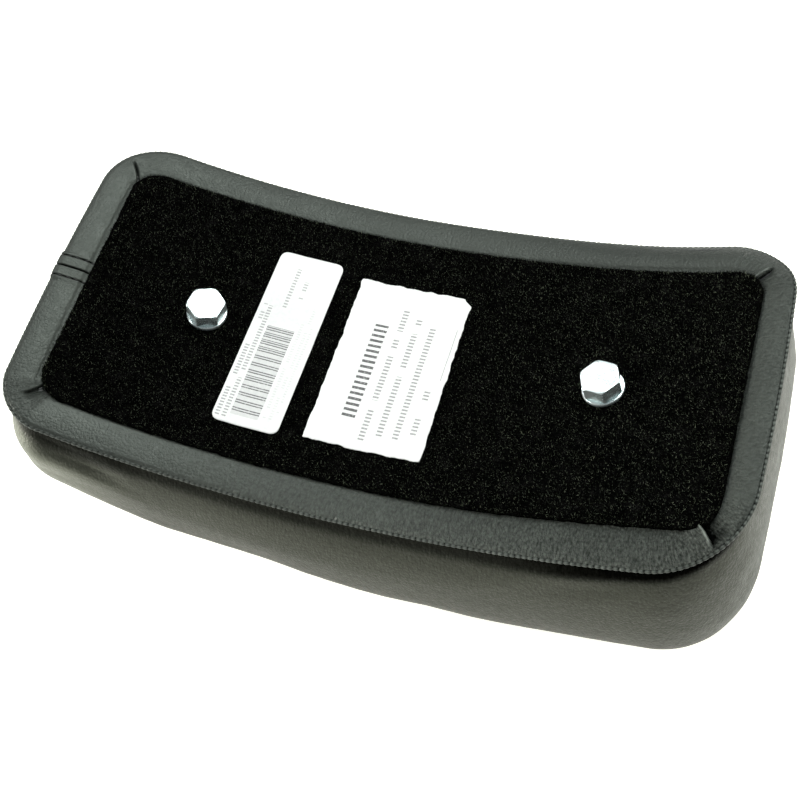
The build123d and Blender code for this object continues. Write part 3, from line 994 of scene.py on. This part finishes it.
def fibres(name, s, y, level, length, width, lean, heading, tone):
    """Loose pile: one thin closed spike per fibre."""
    tangent = over_bend(s, np.tile([1.0, 0.0], (len(s), 1)))
    across = np.tile([0.0, 1.0, 0.0], (len(s), 1))
    up = bend_up(s)
    flat = tangent * np.cos(heading)[:, None] + across * np.sin(heading)[:, None]
    side = -tangent * np.sin(heading)[:, None] + across * np.cos(heading)[:, None]
    go = up * np.cos(lean)[:, None] + flat * np.sin(lean)[:, None]
    other = np.cross(go, side)
    base = on_back(s, y, level)
    corners_ = []
    for k in range(3):
        t = 2 * math.pi * k / 3
        corners_.append(base + (side * math.cos(t) + other * math.sin(t)) * (width / 2)[:, None])
    points = np.stack(corners_ + [base + go * length[:, None]], 1).reshape(-1, 3)
    i = np.arange(len(s))[:, None] * 4
    faces = np.stack([i + [0, 1, 3], i + [1, 2, 3], i + [2, 0, 3], i + [0, 2, 1]], 1).reshape(-1, 3)
    make_object(name, points, faces, fibre, values={"tone": np.repeat(tone, 4)}, flat=True)


def label_outline(corners_list, round_r, ragged, seed):
    """Closed label outline in mm about its middle, anticlockwise, with optional torn edge."""
    pts = []
    count = len(corners_list)
    for k in range(count):
        p, q = np.array(corners_list[k]), np.array(corners_list[(k + 1) % count])
        d = (q - p) / np.linalg.norm(q - p)
        a, b = p + d * round_r, q - d * round_r
        steps = max(2, int(np.linalg.norm(b - a) / 0.55))
        pts += [a + (b - a) * t for t in np.linspace(0, 1, steps)]
        if round_r > 0:
            r = np.array(corners_list[(k + 2) % count])
            e = (r - q) / np.linalg.norm(r - q)
            for t in np.linspace(0, 1, 9)[1:-1]:
                pts.append((1 - t) ** 2 * b + 2 * t * (1 - t) * q + t * t * (q + e * round_r))
    pts = np.array(pts)
    if ragged:
        tangent = np.roll(pts, -1, 0) - np.roll(pts, 1, 0)
        out = np.c_[tangent[:, 1], -tangent[:, 0]]
        out /= np.maximum(np.linalg.norm(out, axis=1, keepdims=True), 1e-9)
        torn = waves(pts[:, 0], pts[:, 1], seed, 7.0, 4) * ragged
        pts = pts + out * torn[:, None]
    return pts


def label(name, centre, outline, material, node, seed):
    """Thin paper lying on the pile: a closed sheet with a soft wave in it."""
    under = [(0.5, 1), (1.0, 1)]
    over = [(scale, 0) for scale in (1.0, 0.985, 0.94, 0.86, 0.74, 0.6, 0.45, 0.3, 0.15)]
    grid, uv = [], []
    for scale, low in under + over:
        uv.append(outline * scale)
        s, y = (uv[-1] + centre).T
        wave = 0.16 * waves(s, y, seed, 26.0, 2) + 0.05 * waves(s, y, seed + 1, 8.0, 2)
        grid.append(on_back(s, y, LABEL_TOP + wave - LABEL_THICK * low))
    points = np.vstack([*grid, on_back(*centre, LABEL_TOP), on_back(*centre, LABEL_TOP - LABEL_THICK)])
    make_object(name, points, capped_faces(len(grid), len(outline), True), material, node,
                uv=np.vstack([*uv, [0, 0], [0, 0]]))


LABEL_TOP, LABEL_THICK = 2.25, 0.24
NARROW_AT, WIDE_AT = np.array([-45.0, -3.1]), np.array([-2.2, -3.6])
narrow_outline = label_outline([(12.6, -38.0), (12.6, 38.0), (-12.5, 38.0), (-12.5, -38.0)], 3.4, 0, 0)
wide_outline = label_outline([(22.0, -35.6), (21.8, 30.6), (19.0, 33.9), (-21.6, 34.8), (-21.2, -35.4)],
                             0.5, 0.42, 41)

carpet_base = carpet_material()
fibre = fibre_material()
slab("carpet_backing", CARPET_L, CARPET_W, CARPET_CORNER, carpet_base, "carpet_facing")


def inside_outline(p, outline):
    """Even-odd test of many points against one outline."""
    hit = np.zeros(len(p), bool)
    a, b = outline, np.roll(outline, -1, 0)
    for (x0, y0), (x1, y1) in zip(a, b):
        cross = (y0 > p[:, 1]) != (y1 > p[:, 1])
        with np.errstate(divide="ignore", invalid="ignore"):
            at = (x1 - x0) * (p[:, 1] - y0) / (y1 - y0) + x0
        hit ^= cross & (p[:, 0] < at)
    return hit


def in_carpet(s, y, grow=0.0):
    qs = np.abs(s) - (CARPET_L - CARPET_CORNER)
    qy = np.abs(y) - (CARPET_W - CARPET_CORNER)
    d = np.hypot(np.maximum(qs, 0), np.maximum(qy, 0)) + np.minimum(np.maximum(qs, qy), 0) - CARPET_CORNER
    return d < grow


def scatter(count, seed):
    r = np.random.default_rng(seed)
    s, y = r.uniform(-CARPET_L, CARPET_L, count * 2), r.uniform(-CARPET_W, CARPET_W, count * 2)
    p = np.c_[s, y]
    keep = in_carpet(s, y, -0.4) & (from_bolt(s, y) > 8.1)
    keep &= ~inside_outline((p - NARROW_AT) * 1.015, narrow_outline[::3])
    keep &= ~inside_outline((p - WIDE_AT) * 1.015, wide_outline[::3])
    s, y = carpet_shape(s[keep][:count], y[keep][:count])
    n = len(s)
    lean = np.radians(r.uniform(8, 72, n))
    heading = r.uniform(0, 2 * math.pi, n) + 0.5 * waves(s, y, 35, 18.0)
    tone = np.clip(r.beta(1.2, 1.9, n), 0, 1)
    bright = r.random(n) < 0.012
    tone = np.where(bright, r.uniform(0.85, 1.0, n), tone * 0.95)
    length, width = r.uniform(0.8, 1.5, n), r.uniform(0.18, 0.36, n)
    return s, y, pile_level(s, y) - 0.35, length, width, lean, heading, tone


for part_name, seed in (("carpet_pile_a", 51), ("carpet_pile_b", 52)):
    fibres(part_name, *scatter(42000, seed))

fringe_ring, fringe_out, _, _ = pick_stations(bowed_outline(CARPET_L, CARPET_W, CARPET_CORNER, 0.0),
                                              0.13)
r = np.random.default_rng(53)
n = len(fringe_ring)
inset = r.uniform(-0.1, 0.9, n)
p = np.stack(carpet_shape(*(fringe_ring - fringe_out * inset[:, None]).T), -1)
heading = np.arctan2(fringe_out[:, 1], fringe_out[:, 0]) + r.normal(0, 0.8, n)
fibres("carpet_fringe", p[:, 0], p[:, 1], r.uniform(0.1, 1.0, n), r.uniform(0.6, 1.35, n),
       r.uniform(0.12, 0.24, n), np.radians(r.uniform(15, 80, n)), heading, r.beta(1.2, 3.0, n) * 0.8)

narrow_paper = label_material("paper_narrow", [
    (-6.4, 4.1, -34.2, 4.6, "plain", 1.0, 0.20),
    (-6.4, 4.1, -34.2, 4.6, "pairs", 3.2, 0.90),
    (-11.5, -9.9, -36.6, -24.0, "ticks", 1.25, 0.55), (-11.3, -9.7, -19.0, -5.0, "ticks", 1.25, 0.55),
    (-11.0, -9.5, 4.0, 14.0, "ticks", 1.25, 0.50), (-9.0, -7.4, -36.6, 13.0, "ticks", 1.25, 0.55),
    (-4.0, -2.5, 13.4, 32.4, "ticks", 1.35, 0.50), (0.5, 2.1, 18.4, 26.7, "ticks", 1.25, 0.50),
    (5.4, 6.6, -33.0, 10.0, "ticks", 1.1, 0.16), (7.6, 8.8, -33.0, 16.0, "ticks", 1.1, 0.16),
    (9.4, 10.4, -30.0, 8.0, "ticks", 1.1, 0.16)])
wide_paper = label_material("paper_wide", [
    (-10.6, -5.6, -24.0, 16.4, "ticks", 2.30, 0.93),
    (-2.0, 0.2, -31.7, 25.0, "ticks", 1.45, 0.62), (3.8, 6.0, -29.4, 21.3, "ticks", 1.45, 0.62),
    (9.8, 12.0, -29.0, 19.8, "ticks", 1.45, 0.62), (15.6, 17.8, -28.7, -4.1, "ticks", 1.45, 0.62),
    (19.7, 20.0, -2.4, 19.8, "plain", 1.0, 0.55)])
label("label_narrow_paper", NARROW_AT, narrow_outline, narrow_paper, "label_narrow", 61)
label("label_wide_paper", WIDE_AT, wide_outline, wide_paper, "label_wide", 71)

# ---- bolts and washers

HEAD_HALF, HEAD_H, SHANK_R, SHANK_L, PITCH = 6.35, 5.9, 3.97, 19.05, 1.4111
WASHER_R, WASHER_HOLE, WASHER_T = 7.5, 4.2, 1.6


def bolt_place(side, level):
    """Columns x, y, z and origin of the bolt's own axes."""
    a = side * BOLT_ARC / BACK_R
    reach = BACK_R - level
    c, s = math.cos(a), math.sin(a)
    places = (c, 0, s), (0.0, 1.0, 0.0), (-s, 0, c), (reach * s, 0, AXIS_Z - reach * c)
    return [np.array(v) for v in places]


def turned(name, rings, cols, place, body, node, closed_ring=False):
    """Rings of (radius per column, height per column) about an axis, as one closed mesh."""
    ex, ey, ez, origin = place
    a = np.linspace(0, 2 * math.pi, cols, endpoint=False)
    points = []
    for radius, height in rings:
        radius, height = np.broadcast_to(radius, cols), np.broadcast_to(height, cols)
        points.append(origin + ex * (radius * np.cos(a))[:, None] + ey * (radius * np.sin(a))[:, None]
                      + ez * height[:, None])
    count, last = len(points), (len(points) - 1) * cols
    if closed_ring:
        c = np.arange(cols)
        n = (c + 1) % cols
        faces = strip_faces(count, cols).tolist() + np.stack([last + c, c, n, last + n], -1).tolist()
    else:
        points += [points[0].mean(0), points[-1].mean(0)]
        faces = capped_faces(count, cols)
    obj = make_object(name, np.vstack(points), faces, zinc, node, body)
    obj.data.set_sharp_from_angle(angle=math.radians(32))


def hex_rings(turn, cols):
    """Head from its top centre down to the washer face, then the threaded shank."""
    a = np.linspace(0, 2 * math.pi, cols, endpoint=False)
    sector = (a - math.radians(turn)) % (math.pi / 3) - math.pi / 6
    hexagon = np.minimum(HEAD_HALF / np.cos(sector), HEAD_HALF / math.cos(math.pi / 6) - 0.06)
    top = HEAD_HALF + 0.30
    face_edge = np.minimum(hexagon - 0.14, top)
    rings = [(0.4, HEAD_H), (face_edge - 0.5, HEAD_H), (face_edge - 0.1, HEAD_H), (face_edge, HEAD_H - 0.03)]
    for z in HEAD_H - 0.06 - np.arange(12) * 0.05:
        rings.append((np.minimum(hexagon, top + (HEAD_H - z) * 1.7), z))
    rings += [(hexagon, 3.2), (hexagon, 1.6), (hexagon, 0.36), (hexagon - 0.1, 0.3), (6.15, 0.3),
              (6.05, 0.24), (6.05, 0.0), (SHANK_R + 0.1, 0.0), (SHANK_R, -0.1)]
    for z in np.arange(-0.5, -SHANK_L, -PITCH / 9):
        phase = (z / PITCH - a / (2 * math.pi)) % 1.0
        ridge = 1 - np.abs(phase * 2 - 1)
        depth = 0.72 * min(1.0, (-z - 0.4) / 1.2)
        tip = max(0.0, 0.9 - (SHANK_L + z)) * 0.9
        rings.append((SHANK_R - depth * (1 - ridge) - tip, z))
    rings += [(SHANK_R - 1.1, -SHANK_L), (1.0, -SHANK_L)]
    return rings


for side, word in BOLTS:
    turned(f"bolt_{word}_hex", hex_rings(BOLT_TURN[side], 96), 96, bolt_place(side, WASHER_T),
           f"{word}_bolt", f"bolt_{word}")
    t = WASHER_T
    profile = [(WASHER_HOLE, 0.12), (WASHER_HOLE, t - 0.15), (WASHER_HOLE + 0.12, t), (6.2, t),
               (6.9, t - 0.03), (WASHER_R - 0.28, t - 0.12), (WASHER_R - 0.08, t - 0.34),
               (WASHER_R, t - 0.62), (WASHER_R, 0.3), (WASHER_R - 0.1, 0.08), (WASHER_R - 0.3, 0.0),
               (WASHER_HOLE + 0.12, 0.0)]
    turned(f"washer_{word}_ring", profile, 96, bolt_place(side, 0.0), f"{word}_washer",
           f"washer_{word}", closed_ring=True)

for name, material in (("base_plate", plastic), ("nut_left", zinc), ("nut_right", zinc), ("staples", wire)):
    nodes[name].data.materials.clear()
    nodes[name].data.materials.append(material)

# ---- stage, light and camera

scene = bpy.context.scene
scene.view_settings.view_transform = "Standard"
scene.view_settings.look = "None"

floor_mesh = bpy.data.meshes.new("floor")
floor_mesh.from_pydata([(-3, -3, 0), (3, -3, 0), (3, 3, 0), (-3, 3, 0)], [], [(0, 1, 2, 3)])
floor = bpy.data.objects.new("floor", floor_mesh)
scene.collection.objects.link(floor)
paper = Tree("floor_paper")
# The floor glows, a painted pool of light: strength 0.78 within 0.28 m of a point near the pad's left end,
# falling to 0.10 by 0.8 m, and it also lights the pad from below
paper.set(Base_Color=(0.93, 0.93, 0.92, 1), Roughness=0.9, Emission_Color=(1, 1, 0.89, 1))
coords = paper.place()
length = paper.node("ShaderNodeVectorMath", operation="LENGTH")
glow = paper.node("ShaderNodeMapRange", From_Min=0.28, From_Max=0.80, To_Min=0.78, To_Max=0.10)
shift = paper.node("ShaderNodeVectorMath")
shift.inputs[1].default_value = (0.14, -0.02, 0.0)
paper.link(coords, shift.inputs[0])
paper.link(shift.outputs[0], length.inputs[0])
paper.link(length.outputs["Value"], glow.inputs["Value"])
paper.feed("Emission Strength", glow.outputs["Result"])
floor_mesh.materials.append(paper.material)

world = bpy.data.worlds.new("studio")
world.use_nodes = True
world.node_tree.nodes["Background"].inputs[0].default_value = (0.97, 0.985, 1.0, 1)
world.node_tree.nodes["Background"].inputs[1].default_value = 0.22
scene.world = world


def softbox(name, place, target, size, power, colour):
    data = bpy.data.lights.new(name, "AREA")
    data.shape, data.size, data.size_y = "RECTANGLE", size[0], size[1]
    data.energy, data.color = power, colour
    obj = bpy.data.objects.new(name, data)
    obj.location = place
    obj.rotation_euler = (Vector(target) - Vector(place)).to_track_quat("-Z", "Y").to_euler()
    scene.collection.objects.link(obj)


for name, place, target, size, power, colour in (
        ("key_right", (1.25, 0.15, 0.55), (0, 0, 0.04), (1.0, 0.9), 7.6, (1.0, 0.99, 0.92)),
        ("top_far", (0.12, 0.62, 1.15), (0, 0, 0.06), (0.7, 0.8), 16.8, (0.95, 1.0, 0.97)),
        ("top_left", (-0.83, 0.66, 0.95), (0, 0, 0.06), (0.45, 0.40), 2.4, (1.0, 0.95, 0.97)),
        ("fill_left", (-1.35, -0.45, 0.30), (0, 0, 0.04), (0.8, 0.6), 34.0, (1.0, 1.0, 0.93))):
    softbox(name, place, target, size, power, colour)

camera_data = bpy.data.cameras.new("camera")
camera_data.lens, camera_data.sensor_width = 54.785, 36.0
camera_data.clip_start, camera_data.clip_end = 0.01, 50.0
camera = bpy.data.objects.new("camera", camera_data)
camera.matrix_world = Matrix((
    (0.946543, -0.190283, 0.260477, 0.117368),
    (0.296390, 0.831724, -0.469456, -0.217767),
    (-0.127315, 0.521563, 0.843660, 0.425837),
    (0, 0, 0, 1)))
scene.collection.objects.link(camera)
scene.camera = camera
